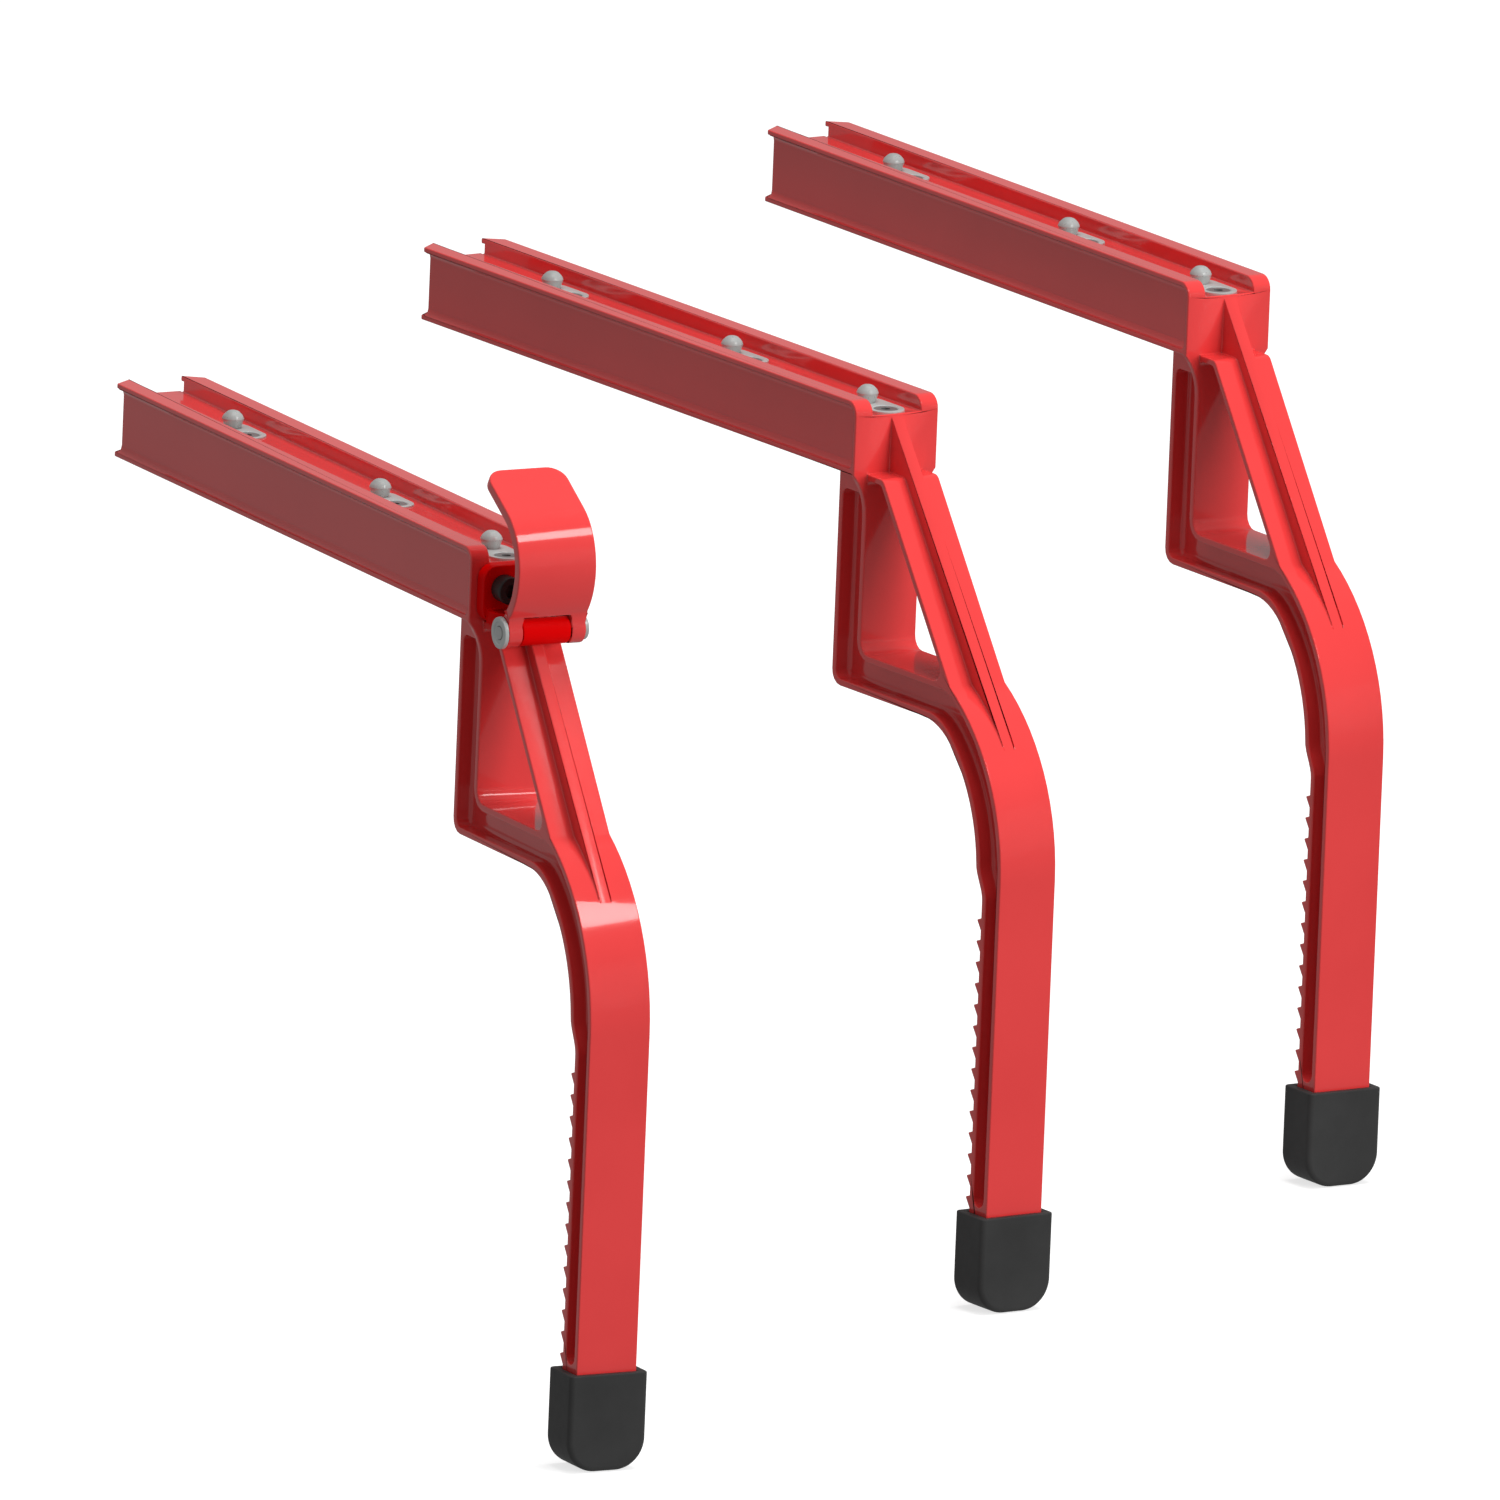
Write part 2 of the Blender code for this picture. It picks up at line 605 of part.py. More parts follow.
def latch_block(name):
    """Block on the nose, with an arm that ends in the hinge barrel."""
    half = BLOCK_WIDTH / 2
    low = BEAM_BOTTOM_Z + GAP + 0.2
    high = FLOOR_Z - 0.2
    outline = rounded([
        (-half, low, BLOCK_RADIUS),
        (half, low, BLOCK_RADIUS),
        (half, high, BLOCK_RADIUS),
        (-half, high, BLOCK_RADIUS),
    ])
    front = NOSE_Y - BLOCK_PROUD
    body = prism(name, outline, front, NOSE_Y - GAP, "Y")
    barrel_half = BARREL_LENGTH / 2
    arm_half = half - BLOCK_RADIUS / 3
    right = [(barrel_half, HINGE[0]), (barrel_half, ARM_TAPER_Y - 5), (arm_half, ARM_TAPER_Y)]
    right.append((arm_half, front + 1))
    plan = right + [(-x, y) for x, y in reversed(right)]
    join(body, prism("arm", plan, low + 0.1, ARM_TOP_Z - 0.15, "Z"))
    barrel = [(BARREL_RADIUS, -barrel_half), (BARREL_RADIUS, barrel_half)]
    join(body, lathe("barrel", barrel, (0, *HINGE), "X", 28))
    bore = [(HINGE_PIN_RADIUS + GAP, -barrel_half - 1), (HINGE_PIN_RADIUS + GAP, barrel_half + 1)]
    cut(body, lathe("bore", bore, (0, *HINGE), "X", 20))
    for sign in (-1, 1):
        centre = (sign * BOLT_SPACING / 2, 0, BOLT_Z)
        wall = [(BOLT_SHANK + GAP, front - 1), (BOLT_SHANK + GAP, NOSE_Y + 1)]
        cut(body, lathe("bolt_hole", wall, centre, "Y", 16))
    return body


def lever_outline():
    """Side view of the lever's blade: a bulge, a curl and a straight tip."""
    centre = (HINGE[0] + LEVER_BULGE[0], HINGE[1] + LEVER_BULGE[1])
    tip = (HINGE[0] + LEVER_TIP[0], HINGE[1] + LEVER_TIP[1])
    outer = []
    inner = []
    foot_angle = math.pi + math.asin((LEVER_BULGE[1] - BARREL_RADIUS - 2 * GAP) / LEVER_BULGE_RADIUS)
    curl_end = math.pi / 2 + LEVER_TIP_SLOPE
    for points, shift in ((outer, 0.0), (inner, LEVER_THICKNESS)):
        points += arc(centre, LEVER_BULGE_RADIUS - shift, foot_angle, LEVER_CURL_START, 14)
        turn = Vector((math.cos(LEVER_CURL_START), math.sin(LEVER_CURL_START)))
        middle = Vector(centre) + turn * (LEVER_BULGE_RADIUS - LEVER_CURL_RADIUS)
        points += arc(middle, LEVER_CURL_RADIUS - shift, LEVER_CURL_START, curl_end, 4)[1:]
        along = Vector((math.cos(LEVER_TIP_SLOPE), math.sin(LEVER_TIP_SLOPE)))
        reach = (Vector(tip) - Vector(points[-1])).dot(along)
        points.append(tuple(Vector(points[-1]) + along * reach))
    return outer + inner[::-1]


def latch_lever(name):
    """Curved flip lever with two ears around the hinge barrel."""
    half = LEVER_WIDTH / 2
    inner = BARREL_LENGTH / 2 + GAP
    body = prism(name, lever_outline(), -half, half, "X")
    for sign in (-1, 1):
        cut(body, corner_cutter(sign))
        join(body, prism("ear", ear_outline(), sign * inner, sign * (half - 0.01), "X"))
    bore = [(HINGE_PIN_RADIUS + GAP, -half - 1), (HINGE_PIN_RADIUS + GAP, half + 1)]
    cut(body, lathe("bore", bore, (0, *HINGE), "X", 20))
    return body


def corner_cutter(sign):
    """Cutter that rounds one corner of the lever's tip, square to the sloping blade."""
    half = LEVER_WIDTH / 2
    centre = (half - LEVER_CORNER, -LEVER_CORNER)
    outline = arc(centre, LEVER_CORNER, 0, math.pi / 2, 8)
    outline += [(centre[0], 2.0), (half + 2.0, 2.0), (half + 2.0, centre[1])]
    cutter = prism("corner", [(sign * x, along) for x, along in outline], -LEVER_THICKNESS - 3, 3, "Z")
    tip = Vector((0, HINGE[0] + LEVER_TIP[0], HINGE[1] + LEVER_TIP[1]))
    cutter.data.transform(Matrix.Translation(tip * MM) @ Matrix.Rotation(LEVER_TIP_SLOPE, 4, "X"))
    return cutter


def ear_outline():
    """Side view of an ear: a round eye that runs up into the blade."""
    eye = arc(HINGE, BARREL_RADIUS + 0.2, math.radians(-210), math.radians(0), 18)
    centre = (HINGE[0] + LEVER_BULGE[0], HINGE[1] + LEVER_BULGE[1])
    outer = arc(centre, LEVER_BULGE_RADIUS - 0.6, math.radians(206), math.radians(222), 3)
    inner = arc(centre, LEVER_BULGE_RADIUS - LEVER_THICKNESS + 0.6, math.radians(206), math.radians(222), 3)
    return eye + inner[::-1] + outer


def hinge_pin(name):
    """Headed pin through both ears and the barrel."""
    half = LEVER_WIDTH / 2
    head = half + GAP
    profile = [
        (HINGE_PIN_RADIUS, -half - GAP - CAP_THICKNESS + 0.4),
        (HINGE_PIN_RADIUS, head),
        (PIN_HEAD_RADIUS, head),
        (PIN_HEAD_RADIUS, head + CAP_THICKNESS - 0.5),
        (PIN_HEAD_RADIUS - 0.5, head + CAP_THICKNESS),
    ]
    return lathe(name, profile, (0, *HINGE), "X", 28)


def pin_retainer(name):
    """Push-on cap that keeps the hinge pin in."""
    start = -LEVER_WIDTH / 2 - GAP
    profile = [
        (CAP_RADIUS - 0.5, start - CAP_THICKNESS),
        (CAP_RADIUS, start - CAP_THICKNESS + 0.5),
        (CAP_RADIUS, start),
    ]
    body = lathe(name, profile, (0, *HINGE), "X", 28)
    bore = [(HINGE_PIN_RADIUS + GAP, start - CAP_THICKNESS - 1), (HINGE_PIN_RADIUS + GAP, start + 1)]
    cut(body, lathe("bore", bore, (0, *HINGE), "X", 20))
    return body


def latch_bolt(name, x):
    """Socket-head cap screw that fastens the block to the nose."""
    seat = NOSE_Y - BLOCK_PROUD - GAP
    profile = [
        (BOLT_HEAD - 0.6, seat - BOLT_HEAD_HEIGHT),
        (BOLT_HEAD, seat - BOLT_HEAD_HEIGHT + 0.6),
        (BOLT_HEAD, seat),
        (BOLT_SHANK, seat),
        (BOLT_SHANK, seat + BOLT_LENGTH),
    ]
    body = lathe(name, profile, (x, 0, BOLT_Z), "Y")
    front = seat - BOLT_HEAD_HEIGHT
    cut(body, hexagon((x, 0, BOLT_Z), 6.0, front - 1, front + 4.0, "Y"))
    return body


# ---- assembly ---------------------------------------------------------------------------

def material(finish):
    """One Principled material for each finish."""
    colour, roughness, metallic = FINISHES[finish]
    made = bpy.data.materials.new(finish)
    made.use_nodes = True
    shader = made.node_tree.nodes["Principled BSDF"]
    shader.inputs["Base Color"].default_value = colour
    shader.inputs["Roughness"].default_value = roughness
    shader.inputs["Metallic"].default_value = metallic
    made.diffuse_color = colour
    return made


def finish(obj, finish_name, parent):
    """Shade a piece, give it its own material and hang it on its stand."""
    obj.data.materials.clear()
    obj.data.materials.append(material(finish_name))
    obj.data.shade_smooth()
    obj.data.set_sharp_from_angle(angle=math.radians(32))
    obj.parent = parent


def stand(tag, foot_place, yaw):
    """One stand with all its fixed pieces, placed by an empty at its sole."""
    root = bpy.data.objects.new("stand_" + tag, None)
    bpy.context.scene.collection.objects.link(root)
    root.location = (foot_place[0] * MM, foot_place[1] * MM, 0)
    root.rotation_euler.z = yaw
    finish(arm("arm_" + tag, tag == LATCHED_STAND), "red", root)
    finish(foot("foot_" + tag), "rubber", root)
    for number, pin_y in enumerate(PIN_ROWS_Y, start=1):
        end = f"{tag}{number}"
        finish(pin_plate("pin_plate_" + end, pin_y), "steel", root)
        finish(locating_pin("locating_pin_" + end, pin_y), "steel", root)
        finish(plate_screw("plate_screw_" + end, pin_y - PIN_TO_SCREW), "steel", root)
    return root


def latch(root):
    """The latch on one stand's nose; the lever hangs on an empty on the hinge's axis."""
    finish(latch_block("latch_block"), "latch_red", root)
    finish(latch_bolt("latch_bolt_left", -BOLT_SPACING / 2), "black_steel", root)
    finish(latch_bolt("latch_bolt_right", BOLT_SPACING / 2), "black_steel", root)
    finish(hinge_pin("hinge_pin"), "steel", root)
    finish(pin_retainer("pin_retainer"), "steel", root)
    hinge = bpy.data.objects.new("lever_hinge", None)
    bpy.context.scene.collection.objects.link(hinge)
    hinge.parent = root
    hinge.location = (0, HINGE[0] * MM, HINGE[1] * MM)
    lever = latch_lever("latch_lever")
    finish(lever, "red", hinge)
    lever.location = -hinge.location


def main():
    for obj in list(bpy.data.objects):
        bpy.data.objects.remove(obj)
    for tag, (foot_place, yaw) in STANDS.items():
        root = stand(tag, foot_place, yaw)
        if tag == LATCHED_STAND:
            latch(root)


main()
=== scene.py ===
"""Looks of the axle jack stands: softened castings, turned hardware, paint, steel and rubber.

Lengths inside the stands are in millimetres in each stand's own frame, whose origin is under the
middle of the foot, with +Y along the beam; stand_frame() takes that frame from the CAD nodes.
"""

import math

import bmesh
import bpy
from mathutils import Matrix, Vector

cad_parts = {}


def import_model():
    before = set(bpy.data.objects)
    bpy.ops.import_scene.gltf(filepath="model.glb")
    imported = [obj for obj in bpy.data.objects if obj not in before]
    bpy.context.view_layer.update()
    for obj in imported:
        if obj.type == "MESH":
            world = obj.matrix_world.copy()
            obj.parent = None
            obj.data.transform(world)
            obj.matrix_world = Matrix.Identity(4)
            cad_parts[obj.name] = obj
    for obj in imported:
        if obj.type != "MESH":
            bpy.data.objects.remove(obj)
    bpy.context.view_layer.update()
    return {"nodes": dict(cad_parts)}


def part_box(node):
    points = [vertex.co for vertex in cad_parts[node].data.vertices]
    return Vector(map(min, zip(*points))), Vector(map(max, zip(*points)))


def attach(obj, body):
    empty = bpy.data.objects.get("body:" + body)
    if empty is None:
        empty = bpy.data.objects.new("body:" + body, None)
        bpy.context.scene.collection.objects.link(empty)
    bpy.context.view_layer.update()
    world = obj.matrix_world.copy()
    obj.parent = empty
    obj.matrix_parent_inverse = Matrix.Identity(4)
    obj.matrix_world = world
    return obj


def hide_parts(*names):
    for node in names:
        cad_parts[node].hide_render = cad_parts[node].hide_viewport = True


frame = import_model()

MM = 0.001
WELD = 0.00001          # metres between vertices that are one vertex
TAGS = "abc"
PLATE_NUMBERS = (1, 2, 3)
TURNED = 64             # segments of a turned piece
TURNED_SMALL = 48
SHARP = 50.0            # degrees between two faces that meet at a real edge
PAST = 1.0              # how far a cutter reaches past the surface it opens

# Castings
CASTING_ROUNDING = 0.6
SEAT_HALF_WIDTH = 10.0  # the space that holds the plates' seats in the channel's floor
SEAT_START = 114.8
SEAT_BOTTOM = 393.0
SEAT_TOP = 396.0

# Boots
BOOT_CORNER = 14.4      # radius of the two lower corners
BOOT_ROUNDING = 2.5
BOOT_RIM_ROUNDING = 0.7
BOOT_RIM_ANGLE = 60.0
SOCKET_HALF = 15.5      # the pocket that the leg stands in
SOCKET_BACK = -8.3
SOCKET_FRONT = 7.1
SOCKET_FLOOR = 13.3

# Pin plates, with heights from the plate's top or bottom
PLATE_BORE = 3.3
PLATE_EDGE = 0.25
PLATE_EDGE_ANGLE = 40.0
DISH_DEPTH = 3.1
DISH_SHOULDER = (5.8, -0.4)
DISH_RIM = (6.3, 0.2)

# Locating pins and screws: (radius, height from the top, rounding) above a plain shank
SHANK = 3.0
PIN_CORNERS = [
    (SHANK, -8.1, 0),
    (3.9, -8.1, 0.2),
    (4.1, -7.2, 0.4),
    (5.15, -3.9, 0.25),
    (4.5, -2.4, 0.8),
    (2.4, -0.35, 1.2),
    (0, 0, 0),
]
SCREW_CORNERS = [
    (SHANK, -2.5, 0),
    (5.5, -0.3, 0),
    (5.5, 0, 0.15),
    (0, 0, 0),
]
SCREW_HEXAGON = 2.31    # corner radius of the socket
SCREW_SOCKET = 2.4
SCREW_EDGE = 0.12

# Latch bolts, pointing along +Y from the face of the head
BOLT_PLACES = {"left": -9.5, "right": 9.5}
BOLT_FACE = 98.5
BOLT_HEAD = 6.3
BOLT_HEAD_LENGTH = 8.4
BOLT_SHANK = 4.0
BOLT_LENGTH = 26.0
BOLT_HEXAGON = 3.46
BOLT_SOCKET = 4.0
BOLT_EDGE = 0.2

# Latch and its hinge
BLOCK_EDGE = 0.5
LEVER_EDGE = 0.7
HINGE_Y = 86.5
LEVER_HALF = 19.6
HEAD_INNER = LEVER_HALF + 0.3
HEAD_OUTER = HEAD_INNER + 1.9
HEAD_RADIUS = 5.6
CAP_BORE = 3.3
CAP_RADIUS = 7.5
CAP_EDGE_ANGLE = 40.0

# Camera: a very long lens far away, because the view has almost no perspective.
VIEW_WIDTH = 0.6862
VIEW_RIGHT = Vector((0.8342, -0.5500, 0.0399))
VIEW_UP = Vector((0.0867, 0.2023, 0.9755))
VIEW_CENTRE = Vector((-0.0869, 0.0947, 0.2496))
LENS = 1700.0
SENSOR = 36.0
CLIP_END = 2000.0

# Studio, in metres and watts; a light's direction is from the middle of the view
WORLD_STRENGTH = 0.30
FLOOR_RADIUS = 14.0
FLOOR_DROP = 0.0002     # keeps the floor just under the boots
FLOOR_GLOW = 0.72
FLOOR_GREY = (0.45, 0.45, 0.45, 1.0)
STUDIO_DISTANCE = 5.0
OVERHEAD_DIRECTION = (0.10, -0.05, 1.0)
OVERHEAD_SIZE = (3.0, 3.0)
OVERHEAD_POWER = 232.0
FILL_DIRECTION = (0.42, -1.0, 0.22)
FILL_SIZE = (3.0, 1.8)
FILL_POWER = 158.0
SOFTBOX_TARGET = (0, 89.5, 352.0)   # on the strut of stand a, in its own frame
SOFTBOX_DIRECTION = (0.392, -0.516, 0.760)
SOFTBOX_DISTANCE = 3.0
SOFTBOX_SIZE = (0.9, 0.5)
SOFTBOX_POWER = 9.0


# ---- mesh tools -------------------------------------------------------------------------

def middle(node):
    low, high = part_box(node)
    return (low + high) / 2


def stand_frame(tag):
    """A stand's own frame: origin under its foot, +Y along its beam, in millimetres."""
    along = middle(f"locating_pin_{tag}3") - middle(f"locating_pin_{tag}1")
    foot = middle("foot_" + tag)
    place = Matrix.Translation((foot.x, foot.y, 0))
    return place @ Matrix.Rotation(math.atan2(-along.x, along.y), 4, "Z") @ Matrix.Scale(MM, 4)


def local_middle(node, tag):
    """The middle of a CAD node's box in its stand's frame."""
    return stand_frame(tag).inverted() @ middle(node)


def add_object(name, bm):
    bmesh.ops.recalc_face_normals(bm, faces=bm.faces)
    mesh = bpy.data.meshes.new(name)
    bm.to_mesh(mesh)
    bm.free()
    obj = bpy.data.objects.new(name, mesh)
    bpy.context.scene.collection.objects.link(obj)
    return obj


def arc(centre, radius, start, end, steps):
    angles = [start + (end - start) * i / steps for i in range(steps + 1)]
    return [(centre[0] + radius * math.cos(t), centre[1] + radius * math.sin(t)) for t in angles]


AXES = {
    "X": lambda u, v, w: (w, u, v),
    "Y": lambda u, v, w: (u, w, v),
    "Z": lambda u, v, w: (u, v, w),
}


def prism(name, outline, low, high, axis):
    """Extrude a closed outline along an axis."""
    place = AXES[axis]
    bm = bmesh.new()
    loops = [[bm.verts.new(place(u, v, w)) for u, v in outline] for w in (low, high)]
    for loop in loops:
        bm.faces.new(loop)
    for i in range(len(outline)):
        j = (i + 1) % len(outline)
        bm.faces.new((loops[0][i], loops[0][j], loops[1][j], loops[1][i]))
    return add_object(name, bm)


def lathe(name, profile, centre, axis, segments=TURNED):
    """Turn a (radius, height) profile about an axis through centre, ends closed."""
    place = AXES[axis]
    bm = bmesh.new()
    rings = []
    for radius, height in profile:
        steps = segments if radius > 0 else 1
        ring = arc((0, 0), radius, 0, 2 * math.pi, steps)[:-1]
        rings.append([bm.verts.new(Vector(centre) + Vector(place(u, v, height))) for u, v in ring])
    for lower, upper in zip(rings, rings[1:]):
        for i in range(segments):
            corners = [lower[i % len(lower)], lower[(i + 1) % len(lower)]]
            corners += [upper[(i + 1) % len(upper)], upper[i % len(upper)]]
            bm.faces.new(list(dict.fromkeys(corners)))
    for ring in (rings[0], rings[-1]):
        if len(ring) > 1:
            bm.faces.new(ring)
    return add_object(name, bm)


def fillet_profile(corners, steps=5):
    """A turned profile through (radius, height, rounding) corners."""
    points = []
    for i, (radius, height, rounding) in enumerate(corners):
        if rounding == 0:
            points.append((radius, height))
            continue
        here = Vector((radius, height))
        back = (Vector(corners[i - 1][:2]) - here).normalized() * rounding
        ahead = (Vector(corners[i + 1][:2]) - here).normalized() * rounding
        for k in range(steps + 1):
            t = k / steps
            points.append(tuple(here + back * (1 - t) ** 2 + ahead * t ** 2))
    return points


def combine(obj, other, operation):
    modifier = obj.modifiers.new(operation.lower(), "BOOLEAN")
    modifier.operation = operation
    modifier.solver = "EXACT"
    modifier.object = other
    graph = bpy.context.evaluated_depsgraph_get()
    result = bpy.data.meshes.new_from_object(obj.evaluated_get(graph))
    obj.modifiers.clear()
    obj.data = result
    bpy.data.objects.remove(other)
    return obj


def cut(obj, *others):
    for other in others:
        combine(obj, other, "DIFFERENCE")
    return obj


def soft_edges(obj, width, angle=SHARP, segments=3):
    """Round every edge sharper than angle and shade the whole piece smoothly."""
    bevel = obj.modifiers.new("edges", "BEVEL")
    bevel.limit_method = "ANGLE"
    bevel.angle_limit = math.radians(angle)
    bevel.width = width * MM
    bevel.segments = segments
    bevel.use_clamp_overlap = False
    return smooth_shading(obj)


def smooth_shading(obj):
    """Smooth shading that keeps large faces flat."""
    weight = obj.modifiers.new("normals", "WEIGHTED_NORMAL")
    weight.keep_sharp = True
    obj.data.shade_smooth()
    return obj


def turned_shading(obj, angle=SHARP):
    """Smooth shading of a turned piece, broken at its real edges."""
    obj.data.shade_smooth()
    obj.data.set_sharp_from_angle(angle=math.radians(angle))


def from_top(corners, bottom, top):
    """A turned profile with heights from its top, closed downwards by the plain shank."""
    placed = [(radius, top + height, rounding) for radius, height, rounding in corners]
    return fillet_profile([(SHANK, bottom, 0)] + placed)


def cad_copy(node, name):
    """A copy of a CAD node with its split vertices welded."""
    bm = bmesh.new()
    bm.from_mesh(frame["nodes"][node].data)
    bmesh.ops.remove_doubles(bm, verts=bm.verts, dist=WELD)
    return add_object(name, bm)


def finish_piece(obj, node, material, tag=None):
    """Place a piece, give it its material and let it stand for its CAD node."""
    if tag is not None:
        obj.data.transform(stand_frame(tag))
    obj.data.materials.clear()
    obj.data.materials.append(material)
    body = "lever" if node == "latch_lever" else "root"
    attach(obj, body)
    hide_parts(node)
    return obj


# ---- materials --------------------------------------------------------------------------

class Nodes:
    """A small helper to build a material from nodes."""

    def __init__(self, name):
        self.material = bpy.data.materials.new(name)
        self.material.use_nodes = True
        self.tree = self.material.node_tree
        self.shader = self.tree.nodes["Principled BSDF"]
        self.coordinates = self.tree.nodes.new("ShaderNodeTexCoord").outputs["Object"]

    def link(self, output, target):
        self.tree.links.new(output, target)

    def noise(self, scale, detail=3.0, roughness=0.5):
        node = self.tree.nodes.new("ShaderNodeTexNoise")
        node.inputs["Scale"].default_value = scale
        node.inputs["Detail"].default_value = detail
        node.inputs["Roughness"].default_value = roughness
        self.link(self.coordinates, node.inputs["Vector"])
        return node.outputs["Fac"]

    def span(self, value, low, high):
        """Map a 0..1 value to low..high."""
        node = self.tree.nodes.new("ShaderNodeMapRange")
        node.inputs["To Min"].default_value = low
        node.inputs["To Max"].default_value = high
        self.link(value, node.inputs["Value"])
        return node.outputs["Result"]

    def ramp(self, value, low, high, start=0.0, end=1.0):
        """A colour between low and high."""
        node = self.tree.nodes.new("ShaderNodeValToRGB")
        node.color_ramp.elements[0].color = (*low, 1.0)
        node.color_ramp.elements[0].position = start
        node.color_ramp.elements[1].color = (*high, 1.0)
        node.color_ramp.elements[1].position = end
        self.link(value, node.inputs["Fac"])
        return node.outputs["Color"]

    def bump(self, height, strength, distance, below=None):
        node = self.tree.nodes.new("ShaderNodeBump")
        node.inputs["Strength"].default_value = strength
        node.inputs["Distance"].default_value = distance
        self.link(height, node.inputs["Height"])
        if below is not None:
            self.link(below, node.inputs["Normal"])
        return node.outputs["Normal"]


def paint(name, low, high, roughness, coat, specular):
    """Sprayed paint over a casting: faint orange peel, soft waviness, slight mottling."""
    made = Nodes(name)
    shader = made.shader
    mottle = made.noise(14.0, 4.0)
    made.link(made.ramp(mottle, low, high, 0.35, 0.65), shader.inputs["Base Color"])
    made.link(made.span(made.noise(90.0), *roughness), shader.inputs["Roughness"])
    wave = made.bump(made.noise(110.0, 2.0), 0.06, 0.0005)
    peel = made.bump(made.noise(900.0, 1.0), 0.05, 0.0001, wave)
    made.link(peel, shader.inputs["Normal"])
    shader.inputs["Coat Weight"].default_value = coat
    shader.inputs["Coat Roughness"].default_value = 0.03
    shader.inputs["Specular IOR Level"].default_value = specular
    return made.material


def steel(name, low, high, roughness, metallic):
    """Plated steel with a fine grain."""
    made = Nodes(name)
    shader = made.shader
    made.link(made.ramp(made.noise(60.0, 4.0), low, high, 0.3, 0.7), shader.inputs["Base Color"])
    made.link(made.span(made.noise(700.0, 3.0), *roughness), shader.inputs["Roughness"])
    made.link(made.bump(made.noise(1500.0, 2.0), 0.05, 0.0001), shader.inputs["Normal"])
    shader.inputs["Metallic"].default_value = metallic
    return made.material


def rubber(name):
    """Moulded rubber: matt, faintly grained, with a trace of dust."""
    made = Nodes(name)
    shader = made.shader
    dust = made.ramp(made.noise(35.0, 5.0), (0.028, 0.028, 0.028), (0.040, 0.040, 0.040), 0.3, 0.75)
    made.link(dust, shader.inputs["Base Color"])
    made.link(made.span(made.noise(220.0), 0.50, 0.64), shader.inputs["Roughness"])
    made.link(made.bump(made.noise(1100.0, 3.0), 0.12, 0.0002), shader.inputs["Normal"])
    return made.material


MATERIALS = {
    "paint": paint("red_paint", (0.72, 0.040, 0.040), (0.76, 0.045, 0.045), (0.10, 0.14), 0.6, 0.5),
    "latch": paint("latch_paint", (0.74, 0.0, 0.0005), (0.78, 0.0005, 0.001), (0.45, 0.55), 0.0, 0.06),
    "steel": steel("plated_steel", (0.50, 0.53, 0.52), (0.58, 0.61, 0.60), (0.30, 0.42), 0.35),
    "pin_steel": steel("turned_steel", (0.42, 0.44, 0.43), (0.50, 0.52, 0.51), (0.24, 0.34), 0.35),
    "screw": steel("screw_steel", (0.20, 0.21, 0.21), (0.26, 0.27, 0.27), (0.26, 0.36), 0.5),
    "bolt": steel("black_oxide", (0.016, 0.012, 0.012), (0.026, 0.020, 0.020), (0.38, 0.50), 0.2),
    "rubber": rubber("foot_rubber"),
}


# ---- pieces -----------------------------------------------------------------------------

def in_seat(point):
    """Whether a point lies on the rim or the wall of a plate's seat in the channel's floor."""
    beside = abs(point.x) < SEAT_HALF_WIDTH and point.y > SEAT_START
    return beside and SEAT_BOTTOM < point.z < SEAT_TOP


def arm(tag):
    """The casting with its corners rounded, apart from the machined seats of the plates."""
    node = "arm_" + tag
    body = cad_copy(node, "casting_" + tag)
    body.data.transform(stand_frame(tag).inverted())
    bm = bmesh.new()
    bm.from_mesh(body.data)
    sharp = [e for e in bm.edges if e.is_manifold and e.calc_face_angle() > math.radians(SHARP)]
    edges = [e for e in sharp if not all(in_seat(v.co) for v in e.verts)]
    bmesh.ops.bevel(
        bm,
        geom=edges,
        offset=CASTING_ROUNDING,
        segments=3,
        profile=0.5,
        affect="EDGES",
        clamp_overlap=False,
    )
    bm.to_mesh(body.data)
    bm.free()
    smooth_shading(body)
    finish_piece(body, node, MATERIALS["paint"], tag)


def foot(tag):
    """Rubber boot: outline with two round lower corners, every outer edge rounded."""
    node = "foot_" + tag
    low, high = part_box("foot_b")
    half = (high.x - low.x) / MM / 2
    depth = (high.y - low.y) / MM / 2
    height = high.z / MM
    corner = BOOT_CORNER
    outline = arc((half - corner, corner), corner, -math.pi / 2, 0, 16)
    outline += [(half, height), (-half, height)]
    outline += arc((corner - half, corner), corner, math.pi, 1.5 * math.pi, 16)
    body = prism("boot_" + tag, outline, -depth, depth, "Y")
    bm = bmesh.new()
    bm.from_mesh(body.data)
    lower = [e for e in bm.edges if abs(e.verts[0].co.y - e.verts[1].co.y) < 0.01]
    rim = [e for e in lower if min(v.co.z for v in e.verts) > height - 0.1]
    rounded = [e for e in lower if e not in rim]
    bmesh.ops.bevel(
        bm, geom=rounded, offset=BOOT_ROUNDING, segments=6, profile=0.5, affect="EDGES"
    )
    bm.to_mesh(body.data)
    bm.free()
    socket = [
        (-SOCKET_HALF, SOCKET_BACK),
        (SOCKET_HALF, SOCKET_BACK),
        (SOCKET_HALF, SOCKET_FRONT),
        (-SOCKET_HALF, SOCKET_FRONT),
    ]
    cut(body, prism("socket", socket, SOCKET_FLOOR, height + PAST, "Z"))
    soft_edges(body, BOOT_RIM_ROUNDING, BOOT_RIM_ANGLE)
    finish_piece(body, node, MATERIALS["rubber"], tag)


